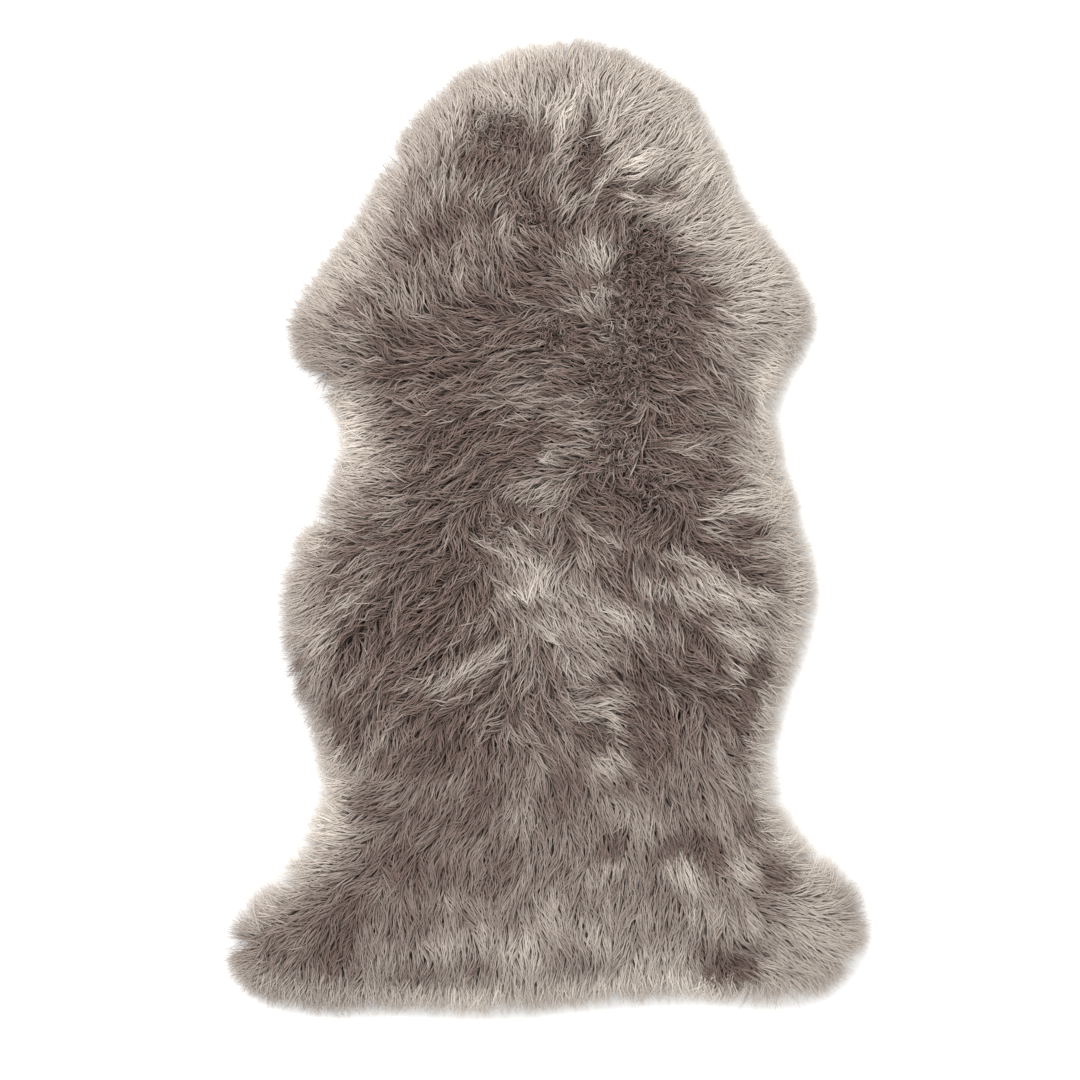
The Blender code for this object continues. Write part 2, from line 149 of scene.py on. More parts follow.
# How light the wool is, against the plain brown of the back: middle, heading, size, and how much
# lighter or, below nought, darker. The narrowest dark patches are painted shadows in the creases
# between locks.
Patch = namedtuple("Patch", "x_mm y_mm heading_deg length_mm width_mm tone")
PATCHES = [Patch(*row) for row in (
    # light: neck and shoulders
    (110, 400, -50, 250, 110, 0.52), (200, 240, -60, 140, 100, 0.5), (180, 180, 90, 56, 56, 0.25),
    (212, 210, 90, 50, 24, 0.2), (150, 143, 0, 90, 22, 0.18), (142, 243, 0, 36, 22, 0.15),
    (228, 133, 90, 80, 30, 0.7), (180, 312, -40, 60, 30, 0.1), (-204, 228, 20, 60, 26, 0.1),
    (-15, 425, 0, 150, 46, 0.55), (18, 390, 90, 60, 40, 0.38), (62, 392, 90, 40, 24, 0.35),
    (90, 356, 30, 50, 34, 0.55), (-82, 396, 0, 50, 50, 0.36), (-98, 350, 0, 34, 34, 0.3),
    (-60, 335, 0, 44, 26, 0.35), (-110, 335, 60, 70, 40, 0.2), (-125, 372, 45, 70, 30, 0.15),
    (-176, 332, -60, 60, 30, 0.15), (148, 330, 90, 40, 28, 0.2), (60, 330, 15, 44, 18, 0.35),
    (56, 346, 90, 30, 14, 0.4), (-20, 368, 0, 60, 24, 0.12), (-75, 295, 0, 24, 20, 0.2),
    (82, 260, -40, 50, 22, 0.3), (125, 308, -35, 110, 36, 0.4), (15, 345, 90, 60, 40, 0.28),
    (18, 330, 50, 18, 8, 0.5), (85, 322, 90, 28, 11, 0.55), (-100, 262, 15, 120, 50, 0.2),
    (-150, 222, 0, 40, 40, 0.12), (-160, 238, -50, 70, 30, 0.2), (51, 275, 90, 44, 28, 0.9),
    (26, 278, 60, 60, 26, 0.3), (70, 268, 90, 30, 16, 0.3), (65, 190, 20, 50, 26, 0.25),
    (-38, 292, 90, 40, 30, 0.25), (-130, 315, 40, 40, 24, 0.25), (42, 227, 10, 64, 26, 0.5),
    (-200, 262, 50, 90, 40, 0.3), (-200, 200, 30, 50, 30, 0.25), (-190, 185, 0, 30, 26, 0.2),
    # light: back
    (22, 105, 0, 46, 26, 0.37), (-40, 130, 10, 90, 60, 0.18), (-8, 36, 0, 80, 46, 0.35),
    (-3, 66, 60, 28, 16, 0.5), (-185, 62, 0, 90, 30, 0.22), (148, 185, -60, 70, 40, 0.15),
    (-205, 92, 90, 40, 26, 0.22), (28, 76, 0, 40, 20, 0.3), (-160, 25, 90, 60, 30, 0.2),
    (-155, 62, 35, 90, 18, 0.15), (165, 110, 0, 30, 22, 0.25), (148, 76, 5, 50, 22, 0.35),
    (205, 60, 0, 30, 30, 0.25), (-135, 0, 0, 120, 24, 0.12), (196, 18, 22, 90, 40, 0.5),
    (232, -20, 0, 40, 26, 0.35), (182, -14, -10, 50, 12, 0.3), (-64, 118, 10, 60, 26, 0.07),
    # light: the middle of the loin and the flanks
    (-60, -17, -25, 50, 16, 0.2), (-27, -8, -30, 34, 16, 0.42), (50, -10, -28, 70, 12, 0.4),
    (-24, -48, -75, 110, 70, 0.27), (18, -60, -20, 80, 40, 0.3), (-22, -74, 30, 50, 24, 0.3),
    (-62, -100, 50, 50, 20, 0.3), (-6, -75, 0, 28, 12, 0.35), (-182, -40, 60, 60, 30, 0.25),
    (-22, -140, 90, 70, 30, 0.2), (2, -114, 0, 36, 22, 0.18), (53, -142, 0, 46, 22, 0.25),
    (44, -42, 0, 30, 30, 0.4), (36, -104, -10, 120, 44, 0.36), (120, -72, -15, 80, 24, 0.4),
    (-8, -42, -80, 34, 22, 0.15), (75, -98, -20, 60, 24, 0.25), (85, -92, -28, 100, 22, 0.32),
    (147, -37, -18, 44, 15, 0.5), (160, -66, -28, 70, 24, 0.45), (190, -64, -20, 90, 32, 0.48),
    (204, -86, 0, 40, 26, 0.25), (151, -82, 0, 26, 20, 0.25), (199, -154, 0, 44, 22, 0.45),
    (176, -196, 90, 30, 20, 0.2), (74, -212, -40, 36, 12, 0.2), (200, -114, -30, 60, 32, 0.62),
    (206, -138, 60, 50, 24, 0.4), (-70, -139, 35, 96, 24, 0.4), (-128, -160, 0, 70, 18, 0.3),
    (-165, -222, 0, 40, 30, 0.3), (-192, -74, 30, 60, 20, 0.35), (-210, -110, 50, 60, 26, 0.18),
    (-240, -165, 90, 30, 20, 0.2), (-192, -180, 90, 50, 24, 0.12), (-238, -108, -70, 76, 46, 0.22),
    (-240, -8, 60, 60, 30, 0.2), (-178, -152, 0, 26, 16, 0.3), (30, -140, 90, 66, 60, 0.25),
    (38, -182, 0, 80, 34, 0.2), (80, -168, 0, 28, 24, 0.3), (72, -196, -60, 50, 16, 0.5),
    (72, -238, 20, 40, 26, 0.35), (78, -170, 0, 40, 24, 0.2), (-4, -250, 0, 24, 30, 0.2),
    (172, -222, 90, 40, 22, 0.2), (216, -230, 90, 50, 26, 0.3),
    # light: tail end and right hind leg
    (-25, -290, 90, 50, 40, 0.12), (82, -292, -50, 110, 36, 0.17), (179, -300, 90, 34, 28, 0.24),
    (188, -213, 90, 80, 20, 0.32), (197, -280, 90, 40, 16, 0.15), (-200, -302, 0, 60, 24, 0.3),
    (58, -346, 30, 60, 24, 0.25), (140, -350, -40, 52, 34, 0.45), (198, -345, 90, 44, 36, 0.35),
    (165, -394, 0, 70, 40, 0.22), (208, -397, 90, 34, 20, 0.3), (145, -338, 90, 30, 14, 0.2),
    (228, -424, 90, 50, 34, 0.42), (-14, -430, 90, 50, 24, 0.35), (150, -466, -10, 56, 24, 0.75),
    (-75, -478, 0, 60, 20, 0.35), (212, -345, 0, 36, 22, 0.25), (-250, -415, 0, 40, 24, 0.2),
    (80, -388, 0, 80, 44, 0.1), (-85, -378, 0, 50, 24, 0.15), (4, -395, 90, 60, 30, 0.3),
    (-40, -418, 90, 60, 50, 0.28), (-95, -420, 0, 60, 40, 0.2), (50, -415, -35, 60, 28, 0.27),
    (98, -442, 20, 90, 40, 0.25), (270, -405, 90, 90, 50, 0.35), (108, -308, 0, 50, 26, 0.1),
    (66, -256, -10, 60, 30, 0.08),
    # dark: neck and shoulders
    (-45, 385, 0, 70, 50, -0.06), (-74, 410, 50, 50, 20, -0.3), (-112, 326, -30, 44, 20, -0.22),
    (42, 292, 0, 34, 12, -0.35), (46, 246, 20, 36, 12, -0.25), (44, 397, 105, 44, 14, -0.55),
    (38, 370, 110, 26, 18, -0.2), (58, 371, 45, 26, 8, -0.3), (0, 297, 0, 40, 32, -0.4),
    (-10, 332, -20, 50, 9, -0.35), (-114, 304, 60, 20, 12, -0.3), (114, 336, -5, 50, 24, -0.6),
    (76, 338, 65, 34, 18, -0.9), (100, 392, 30, 60, 14, -0.1), (98, 302, -25, 44, 10, -0.3),
    (118, 386, 20, 22, 6, -0.4), (166, 335, 0, 22, 18, -0.4), (-234, 136, -50, 44, 26, -0.8),
    (-250, 185, 80, 60, 24, -0.15), (-157, 180, 90, 54, 28, -0.4), (118, 232, -62, 160, 80, -0.4),
    (170, 224, 0, 32, 32, -0.4), (-160, 248, 0, 36, 26, -0.15), (-68, 190, 0, 90, 80, -0.18),
    (-125, 142, 0, 100, 34, -0.27), (-82, 196, 0, 60, 36, -0.06),
    # dark: back
    (-129, 104, 0, 40, 10, -0.35), (-96, 72, 30, 110, 80, -0.27), (-88, 5, 90, 80, 20, -0.15),
    (50, 15, -20, 90, 16, -0.15), (-30, 90, -15, 32, 10, -0.35), (15, 188, 0, 32, 32, -0.4),
    (62, 76, 0, 50, 14, -0.3), (92, 70, -40, 22, 12, -0.35), (40, 26, -60, 34, 14, -0.35),
    (90, 15, 0, 110, 60, -0.05), (158, 15, 90, 60, 24, -0.35), (212, -2, -10, 54, 20, -0.4),
    (209, 110, 0, 24, 22, -0.3),
    # dark: loin and flanks
    (-62, 8, 60, 22, 12, -0.3), (-30, 1, -50, 36, 12, -0.6), (-10, -19, 0, 22, 9, -0.45),
    (-122, -48, 50, 140, 84, -0.33), (-180, -115, 20, 64, 50, -0.4), (-120, -140, 25, 120, 16, -0.35),
    (-178, -138, 25, 60, 28, -0.5), (22, -256, 90, 50, 50, -0.14), (-50, -118, 35, 60, 16, -0.08),
    (-12, -88, 5, 70, 16, -0.2), (-135, -58, 60, 74, 34, -0.37), (243, -62, -60, 50, 22, -0.25),
    (-260, -152, -70, 50, 34, -0.8), (-240, -185, -70, 50, 26, -0.3), (180, -38, -25, 100, 16, -0.5),
    (125, -22, 0, 40, 16, -0.15), (131, -57, 80, 16, 9, -0.45), (155, -172, -8, 120, 34, -0.4),
    (14, -164, -20, 36, 20, -0.25), (198, -200, 95, 110, 50, -0.7), (219, -146, 90, 50, 34, -0.9),
    (108, -205, 90, 80, 50, -0.35), (146, -200, 90, 50, 24, -0.3), (48, -209, -20, 30, 16, -0.35),
    (-36, -199, -30, 44, 18, -0.2), (-9, -177, -50, 24, 12, -0.2), (-135, -182, -20, 56, 22, -0.3),
    (-88, -180, 60, 40, 22, -0.3), (-122, -225, 0, 140, 60, -0.2), (58, -222, 0, 30, 14, -0.3),
    (72, -263, 0, 40, 20, -0.25), (10, -290, 0, 36, 34, -0.12), (-66, -272, 70, 70, 44, -0.15),
    (-120, -295, 0, 90, 40, -0.12), (-207, -208, 70, 70, 44, -0.6), (-190, -288, 90, 60, 50, -0.3),
    (172, -140, 0, 40, 16, -0.25), (70, -156, 0, 40, 24, -0.2), (118, -164, 0, 40, 20, -0.42),
    (22, -57, 0, 60, 14, -0.15), (130, -55, 0, 90, 14, -0.15), (-176, -136, 15, 80, 26, -0.14),
    (-122, -42, 60, 130, 30, -0.08),
    # dark: tail end and hind legs
    (205, -295, 0, 54, 44, -0.35), (160, -330, -60, 50, 30, -0.45), (-195, -338, -20, 80, 24, -0.1),
    (125, -322, 0, 36, 30, -0.25), (-150, -335, 0, 60, 40, -0.2), (232, -342, 20, 50, 44, -0.36),
    (182, -449, 12, 50, 30, -1.4), (216, -430, 50, 50, 32, -0.33), (156, -427, 0, 26, 16, -0.25),
    (116, -333, 0, 34, 24, -0.15), (110, -375, 0, 60, 30, -0.05), (282, -450, -40, 60, 40, -0.1),
    (-50, -345, 60, 60, 36, -0.12), (-130, -402, 0, 70, 40, -0.1), (-120, -350, 0, 90, 40, -0.12),
    (-262, -412, 20, 150, 90, -0.22), (-195, -390, 90, 90, 30, -0.15), (-245, -362, 0, 50, 26, -0.12),
    (65, -326, 50, 60, 20, -0.2), (-318, -408, 90, 50, 30, -0.25), (-130, -455, 0, 60, 26, -0.35),
    (-70, -446, 0, 40, 26, -0.3), (-36, -404, 90, 26, 26, -0.25), (-208, -440, 80, 40, 40, -0.25),
    (40, -445, 0, 80, 26, -0.2),
)]
PATCH_FALL = 1.5                # how sharply a patch ends, and the light wool at the rim
BACK_TONE = (0.05, 0.17, 0.22)  # the plain wool's, from the back to the tail end
BACK_TONE_Y = (-0.12, -0.2, -0.4)
RIM_BAND = 30 * MM              # how far in from the rim the wool is still light
RIM_BLUR = 30 * MM              # how far one rim tone runs into the next
RIM_HOLD = 0.4                  # how little a patch changes the tone of the wool right at the rim
RELIEF = 5 * MM                 # how far the lightest patches stand up, and the darkest lie low

# How light the wool is at the rim, clockwise from the top.
RimTone = namedtuple("RimTone", "x_mm y_mm tone")
RIM_TONES = [RimTone(*row) for row in (
    (-20, 482, 0.85), (45, 470, 0.5), (120, 430, 0.6), (170, 370, 0.75), (250, 200, 0.7), (225, 120, 1),
    (255, -50, 0.9), (225, -230, 1), (262, -328, 1), (312, -375, 0.5), (308, -415, 0.8), (190, -475, 0.8),
    (100, -470, 0.85), (-100, -475, 0.8), (-230, -470, 0.6), (-300, -420, 0.55), (-280, -365, 0.85),
    (-230, -345, 0.85), (-225, -290, 1), (-225, -225, 1), (-215, -185, 0.5), (-255, -125, 0.47),
    (-245, -50, 0.6), (-200, 40, 0.65), (-195, 100, 1), (-240, 170, 0.5), (-230, 240, 0.6),
    (-150, 370, 0.6), (-90, 430, 0.63),
)]

# The grid of spots that the lay, the height and the tone are worked out on.
GRID_PITCH = 3 * MM
GRID_MARGIN = 40 * MM
HEIGHT_BLURS = 2

WOOL_PAST_SKIN = 35 * MM   # from the skin's cut edge out to the wool's tips
ROLL_BAND = 80 * MM        # the width over which the wool rolls down to the floor
PILE_HEIGHT = 43 * MM
OWN_HEIGHT_FROM = 26 * MM  # nearer the rim than this, the height follows the roll alone
OWN_HEIGHT_TO = 44 * MM

# What the wool parts into. Each lock or wisp is a long oval down the lay, whose strands share a turn, a
# rise and a tone, lean towards its middle line at their tips, and lie lower at its edge, where painted
# shade makes them darker in the groove.
Parting = namedtuple("Parting", "pitch_mm stretch turn_deg rise_mm tone gather_deg groove_mm groove_tone")
LOCKS = Parting(20, 3, 15, 1.8, 0.08, 14, 2.8, 0.14)
WISPS = Parting(8, 2.4, 14, 1.2, 0.06, 16, 1.8, 0.10)
CURLED = Parting(5, 1.3, 70, 1.8, 0.08, 0, 2.0, 0.16)
NEAR = 8            # how many of them are looked at to find a strand's own
GROOVE_FROM = 0.6   # how near its edge, 0 to 1, the groove round a lock begins
OVAL_JITTER = 0.35  # how far each lies off its lattice, in pitches
LAY_JITTER = 5 * MM
OWN_LAY = 0.6       # how much a strand keeps to its lock's lay rather than the spot's

# Light wool is combed straighter than dark, and near the rim and over the tail end the wool lies calm.
COMBED = 0.7                   # how much less the lightest wool turns
SETTLED = 0.45                 # and how much less uneven it is
CALM = 0.7                     # how much less uneven calm wool is, in height, tone and tint
CALM_CRIMP = 0.5               # and how much less it waves
EVEN_AT = 0.55                 # where along a strand the tint lies that calm strands keep to
CALM_RIM = (62 * MM, 30 * MM)  # from the rim, where it starts and where it is whole
CALM_TAIL_Y = (-0.17, -0.25)

# The strands: how far apart they are, their length, how much of it is before that place, their width and
# its shares from root to tip, their thickness as a share of it, where their tips lie from the wool's
# upper face, how light they may get at the tip, and how much darker they are than the wool's tone. The
# last two keep the deep down strands dark: partly their own colour, partly painted shade.
Strand = namedtuple("Strand", "pitch_mm length_mm before width_mm width_along thickness low_mm high_mm "
                              "lightest darker")
# the down lies deepest; its lower lightest and darker tone are partly painted shade
DOWN = Strand(6.2, 30, 0.5, 3.0, (0.9, 1, 0), 0.4, -7, -4, 0.6, 0.06)
LONG = Strand(4.15, 31, 0.5, 1.25, (0.85, 1, 1, 0.8, 0), 0.45, -2.5, 1.5, 1, 0)
CURLY = Strand(2.9, 13, 0.5, 1.0, (0.8, 1, 1, 1, 0.8, 0), 0.6, -1.5, 1, 1, 0)
RIM = Strand(0, 0, 0, 0.85, (1, 1, 0.7, 0), 0.45, 0, 0, 1, 0)
WIDTH_SHARES = (0.6, 1.4)           # the thinnest and the widest strand, as shares of that width
LENGTH_SHARES = (0.75, 1.25)
STRAND_ROLL = math.radians(25)      # how far a strand may lie turned about its own line
STRAND_TURN = math.radians(6)       # how far it strays from its neighbours' heading
STRAND_TONE = 0.11                  # how uneven single strands are in tone
PLACE_JITTER = 0.45                 # in pitches
ROOT_DEPTH = 13 * MM
RISE_AT = (0, 0.15, 0.4, 1)         # along a strand
RISE = (1, 0.5, 0.12, 0)            # its depth there, as a share of its root's
BEND_SPREAD = math.radians(9)       # how far the tip turns from the root's heading
BEND_WAVE = math.radians(30)        # and how far it does so together with the wool around it
TURN_WAVE = math.radians(16)        # how far the wool around a spot strays from the lay
TURN_SCALE = 24 * MM                # over this distance
CRIMP_WIDTH = (1.2 * MM, 1.7 * MM)  # half a wave's width, in straight wool and in curls
CRIMP_SHARES = (0.5, 1.3)           # the narrowest and the widest, as shares of that
CRIMP_FULL_AT = 0.5                 # where along a strand its waves are at their widest
CRIMP_LENGTH = (17 * MM, 9 * MM)
CRIMP_LIFT = 0.25                   # how far a wave rises, as a share of its width
CURLS_FROM = 0.35                   # wool that curls more than this is all short curls
SKIN_TO_ROOT = 3 * MM               # a root may lie this far past the skin's edge, no further
LONG_FROM_RIM = 8 * MM              # no strand of the long wool has its spot nearer the outline
LONG_REACH = -5 * MM                # and none ends more than 5 mm past it
LONG_LOWEST = 3 * MM                # its roots stay over the skin

RIM_STRANDS = 11800
RIM_ROOTS = (36 * MM, 52 * MM)  # from the outline
RIM_TIPS = (-11 * MM, 8 * MM)   # inside the outline or, below nought, past it
RIM_STRETCH = (0.3, 1.3)        # how short and how long a strand may be drawn to end there
RIM_LEAST_WAY = 5 * MM          # the least way outwards that this is worked out from
RIM_SHARES = (0.1, 1.02)        # how high they lie under the wool's upper face
RIM_RISE = (0.5, 0.95, 1, 1)    # and at each point, root first, as a share of that
RIM_LEAN = 0.7                  # how much of the lay along the rim they keep
LOWEST = 0.4 * MM               # how near the floor wool lies

# The short wool: how far apart its points are, how far under the upper face and inside the outline it
# stays, and how it is streaked down the lay.
UNDER_PITCH = 9 * MM
UNDER_DEPTH = 12 * MM
UNDER_FROM_RIM = 27 * MM
UNDER_RIDGES = 2 * MM  # how high its streaks stand
UNDER_LOWEST = 5 * MM
UNDER_RIM_BLURS = 3
UNDER_FOOT = 2.7 * MM  # from the skin's edge out to its inner wall, on the floor
UNDER_TOP = 1.2 * MM   # and at the skin's upper face
PIECE_GAP = 0.3 * MM
# the short wool lies deep and keeps near the roots' dark tint: partly its own colour, partly painted shade
UNDER_ALONG = 0.1      # where on the tint from root to tip it lies
UNDER_STREAKS = 0.1    # how far its streaks change that
UNDER_LIGHTEST = 0.4   # and the most that it may be
STREAK_SCALE = 9 * MM
STREAK_REACH = 14 * MM
STREAK_SPOTS = 5       # how many spots along a streak its noise is the mean of
STREAK_GAIN = 2        # which makes up for that mean's being weaker

# The wool's map: its tone runs across it from dark to light, and its tint along it from root to tip, the
# darker roots partly the wool's own colour and partly painted shade of the deep pile.
MAP_EDGE = 0.02      # how much is left free at each side
STRIP_WIDTH = 0.008  # how much of it a strand's width takes

# The long wool's pieces, and how far down the rug each one reaches.
REGIONS = (("wool_neck", 0.300), ("wool_shoulders", 0.100), ("wool_back", -0.100),
           ("wool_loin", -0.280), ("wool_hind_legs", -1))


def columns(rows):
    return np.array(rows, float).T


def smooth(value):
    value = np.clip(value, 0, 1)
    return value * value * (3 - 2 * value)


def between(ends, share):
    return ends[0] + (ends[1] - ends[0]) * share


def headings(degrees):
    return np.stack([np.cos(np.radians(degrees)), np.sin(np.radians(degrees))], axis=-1)


def unit(vectors):
    return vectors / np.maximum(np.linalg.norm(vectors, axis=-1, keepdims=True), 1e-9)


def turned(vectors, angle):
    x, y = vectors[..., 0], vectors[..., 1]
    return np.stack([x * np.cos(angle) - y * np.sin(angle), x * np.sin(angle) + y * np.cos(angle)], axis=-1)


def noise_at(points, scale, layer=0):
    """Smooth noise between -1 and 1, a different one for each layer."""
    flat = points.reshape(-1, 2) / scale
    values = [noise.noise((x, y, layer * LAYER_STEP + 0.5)) for x, y in flat]
    return np.array(values).reshape(points.shape[:-1])


def skin_edge(hide):
    """The points of the skin's cut edge on its upper face, anticlockwise."""
    bm = bmesh.new()
    bm.from_mesh(hide.data)
    bmesh.ops.remove_doubles(bm, verts=bm.verts, dist=WELD)
    top = max(v.co.z for v in bm.verts)
    is_wall = {face: abs(face.normal.z) < 0.5 for face in bm.faces}
    after = {}
    for edge in bm.edges:
        if min(v.co.z for v in edge.verts) < top - LEVEL:
            continue
        if len({is_wall[face] for face in edge.link_faces}) == 2:
            for here, there in (edge.verts, reversed(edge.verts)):
                after.setdefault(here, []).append(there)
    start = next(iter(after))
    walked = [start, after[start][0]]
    while walked[-1] is not start:
        walked.append(next(v for v in after[walked[-1]] if v is not walked[-2]))
    ring = np.array([v.co.xy for v in walked[:-1]])
    bm.free()
    return ring if ring_area(ring) > 0 else ring[::-1]


def ring_area(ring):
    after = np.roll(ring, -1, axis=0)
    return float((ring[:, 0] * after[:, 1] - ring[:, 1] * after[:, 0]).sum() / 2)


def moved_out(ring, distance):
    along = np.roll(ring, -2, axis=0) - np.roll(ring, 2, axis=0)
    return ring + distance * unit(np.stack([along[:, 1], -along[:, 0]], axis=1))


def inwards_of(ring, points):
    """How far inside the ring each point is, below nought outside it, and the way straight out."""
    step = np.roll(ring, -1, axis=0) - ring
    offset = points[:, None] - ring[None]
    share = np.clip((offset * step).sum(2) / (step * step).sum(1), 0, 1)
    to_ring = share[..., None] * step - offset
    nearest = np.linalg.norm(to_ring, axis=2).argmin(1)
    to_ring = to_ring[np.arange(len(points)), nearest]
    end = ring + step
    spans = (ring[:, 1] > points[:, 1:]) != (end[:, 1] > points[:, 1:])
    rise = np.where(step[:, 1] == 0, 1, step[:, 1])
    crossing = ring[:, 0] + (points[:, 1:] - ring[:, 1]) * step[:, 0] / rise
    inside = (spans & (points[:, :1] < crossing)).sum(1) % 2 == 1
    sign = np.where(inside, 1, -1)
    return sign * np.linalg.norm(to_ring, axis=1), unit(to_ring) * sign[:, None]


class Map:
    """Values on a grid of spots over the rug, and between them."""

    def __init__(self, low, high):
        self.low = np.array(low)
        count = np.ceil((np.array(high) - low) / GRID_PITCH).astype(int) + 1
        across = [self.low[axis] + np.arange(count[axis]) * GRID_PITCH for axis in (0, 1)]
        self.spots = np.stack(np.meshgrid(*across, indexing="ij"), axis=-1)

    def filled(self, values):
        made = Map.__new__(Map)
        made.low, made.spots = self.low, self.spots
        made.values = values.reshape(*self.spots.shape[:2], -1)
        return made

    def __call__(self, points):
        last = np.array(self.spots.shape[:2]) - 1.001    # a little inside the last spots
        place = np.clip((points - self.low) / GRID_PITCH, 0, last)
        cell = place.astype(int)
        share = (place - cell)[..., None]
        i, j = cell[..., 0], cell[..., 1]
        v = self.values
        below = v[i, j] * (1 - share[..., 0, :]) + v[i + 1, j] * share[..., 0, :]
        above = v[i, j + 1] * (1 - share[..., 0, :]) + v[i + 1, j + 1] * share[..., 0, :]
        found = below * (1 - share[..., 1, :]) + above * share[..., 1, :]
        return found[..., 0] if found.shape[-1] == 1 else found


def height_map(grid, fleece, inwards):
    """The wool's upper face: the fleece's own, and at the rim the curve that it rolls down in."""
    tree = bvhtree.BVHTree.FromPolygons(
        [v.co for v in fleece.data.vertices], [p.vertices for p in fleece.data.polygons])
    spots = grid.spots.reshape(-1, 2)
    hits = [tree.ray_cast(Vector((x, y, 1)), Vector((0, 0, -1)))[0] for x, y in spots]
    own = np.array([hit.z if hit else 0 for hit in hits]).reshape(grid.spots.shape[:2])
    for _ in range(HEIGHT_BLURS):
        own = (own + np.roll(own, 1, 0) + np.roll(own, -1, 0) + np.roll(own, 1, 1) + np.roll(own, -1, 1)) / 5
    roll = PILE_HEIGHT * np.sqrt(1 - (1 - np.clip(inwards / ROLL_BAND, 0, 1)) ** 2)
    share = smooth((inwards - OWN_HEIGHT_FROM) / (OWN_HEIGHT_TO - OWN_HEIGHT_FROM))
    return grid.filled(roll + (own.reshape(-1) - roll) * share)


def lay_map(grid, inwards, outwards):
    x, y, heading = columns(LAY)
    lay = unit(near_values(grid.spots.reshape(-1, 2), x, y, headings(heading), LAY_BLUR))
    share = OUTWARD_SHARE * smooth(1 - inwards / OUTWARD_BAND)[:, None]
    return grid.filled(unit(lay * (1 - share) + outwards * share))


def calm_map(grid, inwards):
    start, whole = CALM_RIM
    rim = smooth((start - inwards) / (start - whole))
    start, whole = CALM_TAIL_Y
    tail = smooth((start - grid.spots[..., 1].reshape(-1)) / (start - whole))
    return grid.filled(np.maximum(rim, tail))


def offsets(spots, x, y):
    """The way to each spot from the middle of each row."""
    return spots.reshape(-1, 1, 2) - np.stack([x, y], axis=1) * MM


def curl_map(grid):
    x, y, reach, amount = columns(CURLS)
    offset = offsets(grid.spots, x, y)
    return grid.filled((amount * np.exp(-((offset**2).sum(2) / (reach * MM) ** 2))).max(1))


def near_values(spots, x, y, values, reach):
    """At each spot, the values of the rows near it, nearer ones counting for more."""
    offset = offsets(spots, x, y)
    nearness = 1 / ((offset**2).sum(2) + reach**2) ** 2
    return nearness @ values / nearness.sum(1, keepdims=True)


def patches_map(grid):
    x, y, heading, length, width, tone = columns(PATCHES)
    offset = offsets(grid.spots, x, y)
    ahead = headings(heading)
    along = (offset * ahead).sum(2) / (length * MM / 2)
    across = (offset * turned(ahead, math.pi / 2)).sum(2) / (width * MM / 2)
    return grid.filled((tone * np.exp(-((along**2 + across**2) ** PATCH_FALL))).sum(1))


def tone_map(grid, inwards, patches):
    spots = grid.spots.reshape(-1, 2)
    back = np.interp(-spots[:, 1], [-y for y in BACK_TONE_Y], BACK_TONE)
    x, y, tone = columns(RIM_TONES)
    rim_tone = near_values(spots, x, y, tone[:, None], RIM_BLUR)[:, 0]
    rim = np.exp(-np.clip(inwards / RIM_BAND, 0, None) ** PATCH_FALL)
    plain = back + (rim_tone - back) * rim
    return grid.filled(np.clip(plain + patches * (1 - RIM_HOLD * rim), 0, 1))


def lattice(low, high, pitch):
    row_step = pitch * math.sqrt(3) / 2
    rows = int((high[1] - low[1]) / row_step) + 2
    across = int((high[0] - low[0]) / pitch) + 2
    column, row = np.meshgrid(np.arange(across), np.arange(rows))
    x = low[0] + (column + row % 2 / 2) * pitch
    return np.stack([x.ravel(), (low[1] + row * row_step).ravel()], axis=1)


class Wool:
    """The wool's shape and tone everywhere on the rug."""

    def __init__(self, hide, fleece):
        self.skin = skin_edge(hide)
        self.outline = moved_out(self.skin, WOOL_PAST_SKIN)
        grid = Map(self.outline.min(0) - GRID_MARGIN, self.outline.max(0) + GRID_MARGIN)
        inwards, outwards = inwards_of(self.outline, grid.spots.reshape(-1, 2))
        self.inwards = grid.filled(inwards)
        self.outwards = grid.filled(outwards)
        patches = patches_map(grid).values.reshape(-1)
        upper = height_map(grid, fleece, inwards).values.reshape(-1)
        inner = smooth((inwards - WOOL_PAST_SKIN) / WOOL_PAST_SKIN)
        self.height = grid.filled(upper + RELIEF * np.clip(patches, -1, 1) * inner)
        self.lay = lay_map(grid, inwards, outwards)
        self.curl = curl_map(grid)
        self.calm = calm_map(grid, inwards)
        self.tone = tone_map(grid, inwards, patches)


class Partings:
    """The locks or wisps that the wool parts into."""

    def __init__(self, wool, kind, rng):
        pitch = kind.pitch_mm * MM
        centres = lattice(wool.outline.min(0), wool.outline.max(0), pitch)
        self.centres = centres + rng.uniform(-OVAL_JITTER, OVAL_JITTER, centres.shape) * pitch
        self.kind = kind
        self.half_width = pitch / math.sqrt(kind.stretch) / 2
        self.ahead = wool.lay(self.centres + rng.normal(0, LAY_JITTER, centres.shape))
        self.turn = rng.normal(0, math.radians(kind.turn_deg), len(centres))
        self.rise = rng.normal(0, kind.rise_mm * MM, len(centres))
        self.tone = rng.normal(0, kind.tone, len(centres))
        self.phase = rng.uniform(0, 2 * math.pi, len(centres))
        self.tree = kdtree.KDTree(len(centres))
        for number, (x, y) in enumerate(self.centres):
            self.tree.insert((x, y, 0), number)
        self.tree.balance()

    def own(self, points):
        """Each point's lock, how far to the left in it the point lies, and how near its edge, 0 to 1."""
        near = np.array([[number for _, number, _ in self.tree.find_n((x, y, 0), NEAR)] for x, y in points])
        offset = points[:, None] - self.centres[near]
        ahead = self.ahead[near]
        along = (offset * ahead).sum(2) / self.kind.stretch
        across = ahead[..., 0] * offset[..., 1] - ahead[..., 1] * offset[..., 0]
        far = np.hypot(along, across)
        order = np.argsort(far, axis=1)
        row = np.arange(len(points))
        first, second = order[:, 0], order[:, 1]
        left = np.clip(across[row, first] / self.half_width, -1, 1)
        return near[row, first], left, far[row, first] / far[row, second]


